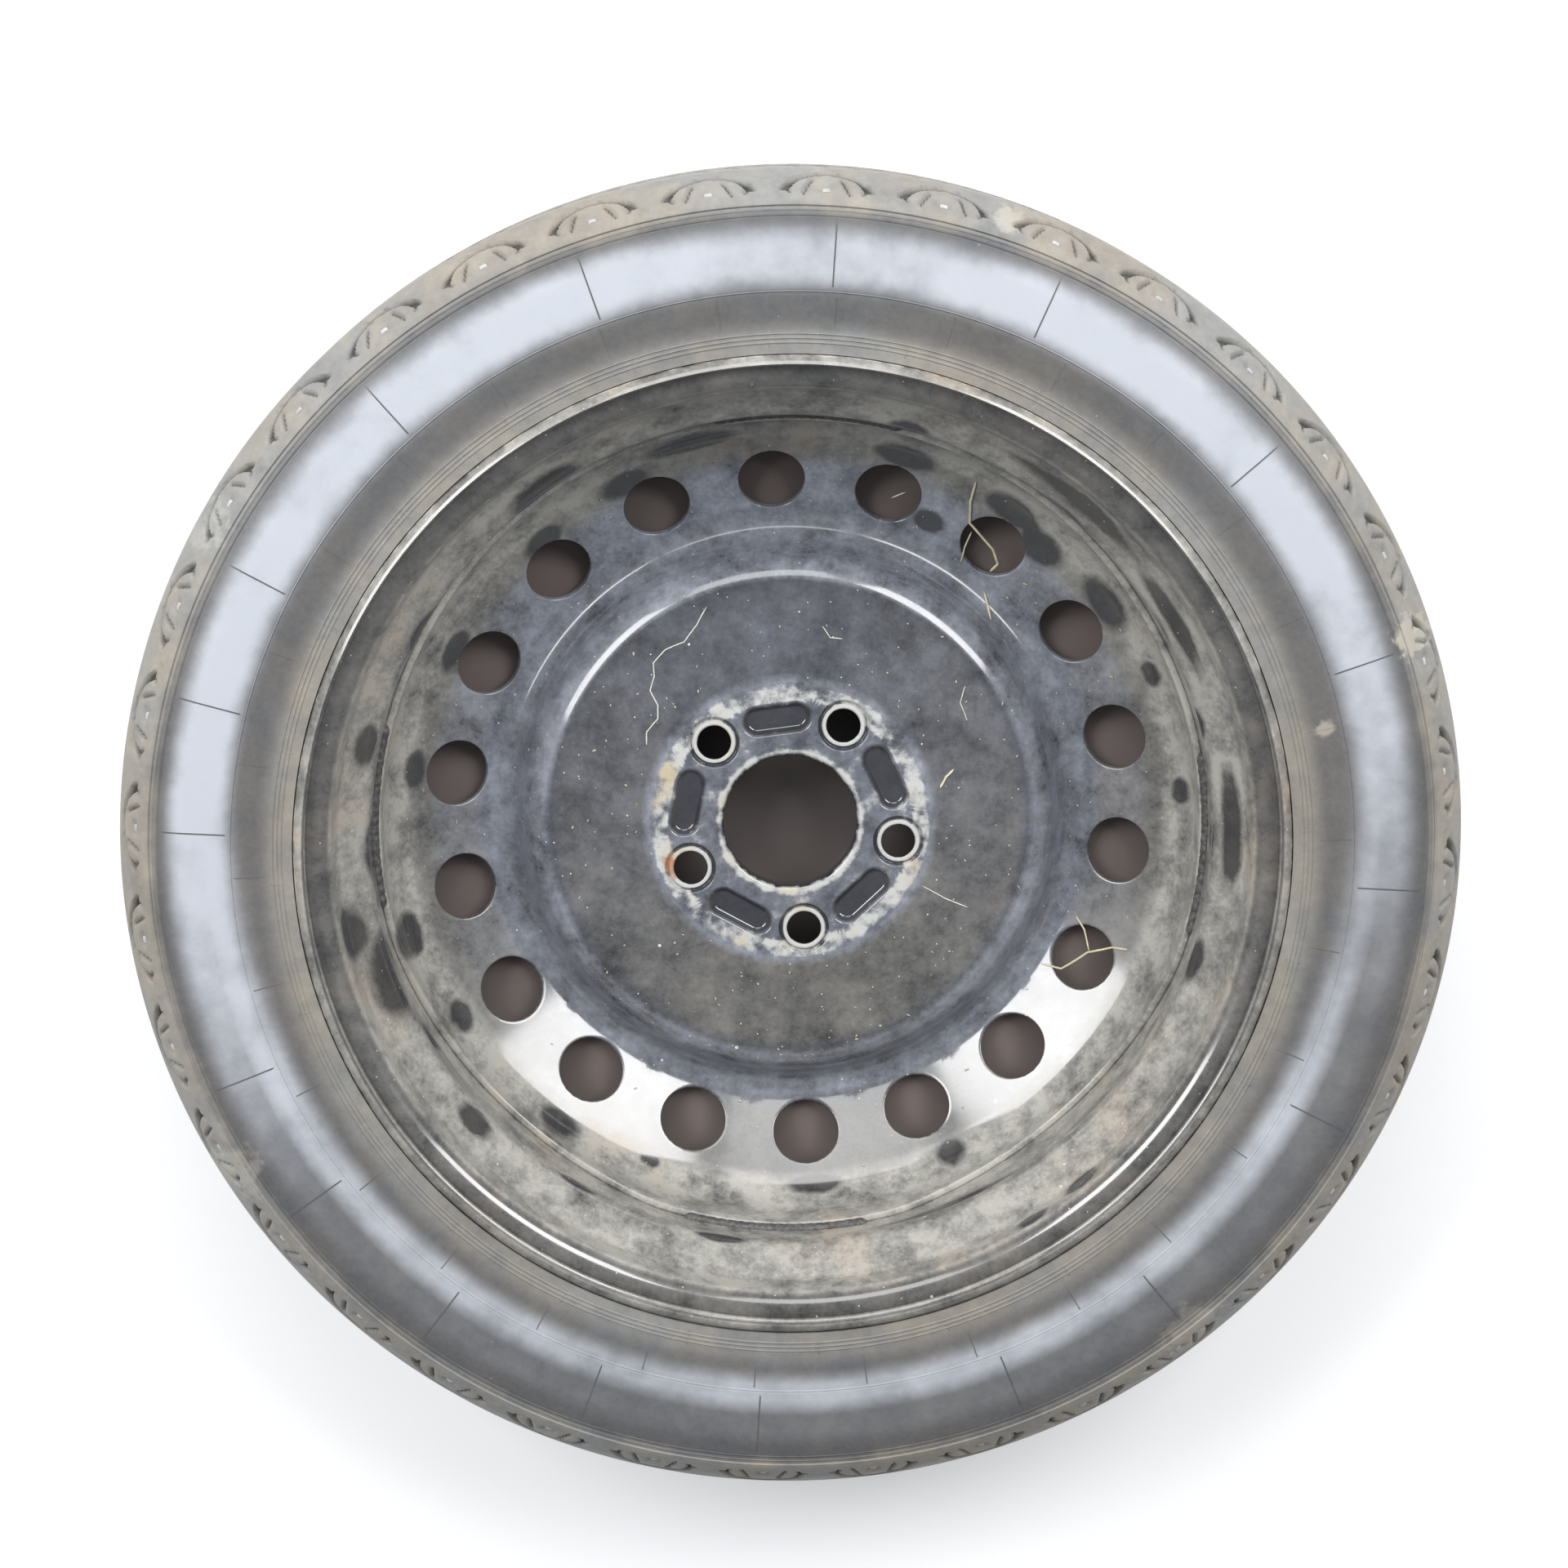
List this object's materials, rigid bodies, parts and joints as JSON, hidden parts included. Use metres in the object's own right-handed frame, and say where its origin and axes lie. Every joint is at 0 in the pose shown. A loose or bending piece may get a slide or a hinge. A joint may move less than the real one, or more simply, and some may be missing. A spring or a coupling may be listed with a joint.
{
  "type": "spare wheel",
  "caption": "Narrow temporary car spare wheel: rubber tyre on a rolled steel rim with a pressed, vented steel disc, bolt holes, centre bore and snap-in valve.",
  "frame": {"origin": "middle of the wheel: the axis at the centre plane of rim and tyre, which is also the middle of its bounding box", "axes": "+Z along the wheel's axis towards the car, so the hub face looks up and the wheel lies on its outer sidewall; +Y is the top of the picture"},
  "size_m": [0.6318, 0.6318, 0.128],
  "materials": {
    "tyre_rubber": "dusty, satin",
    "black_paint": "gloss black under grey-brown dust",
    "painted_weld": "dusty gloss",
    "valve_rubber": "matt",
    "valve_brass": "satin",
    "spring_steel": "bright",
    "cap_plastic": "matt"
  },
  "bodies": {
    "wheel": {"tyre": "tyre_rubber", "rim": "black_paint", "disc": "black_paint", "weld_beads": "painted_weld", "valve_body": "valve_rubber", "valve_stem": "valve_brass", "valve_core": "valve_brass"},
    "pin": {"valve_pin": "valve_brass", "core_spring": "spring_steel"},
    "cap": {"valve_cap": "cap_plastic"}
  },
  "joints": [
    {"name": "pin_press", "type": "slide", "parent": "wheel", "child": "pin", "axis": [0.4498, 0.4195, 0.7885], "range_m": [0, 0.0012], "stiffness_N_per_m": 800},
    {"name": "cap_off", "type": "slide", "parent": "wheel", "child": "cap", "axis": [-0.4498, -0.4195, -0.7885], "range_m": [0, 0.0083]}
  ]
}
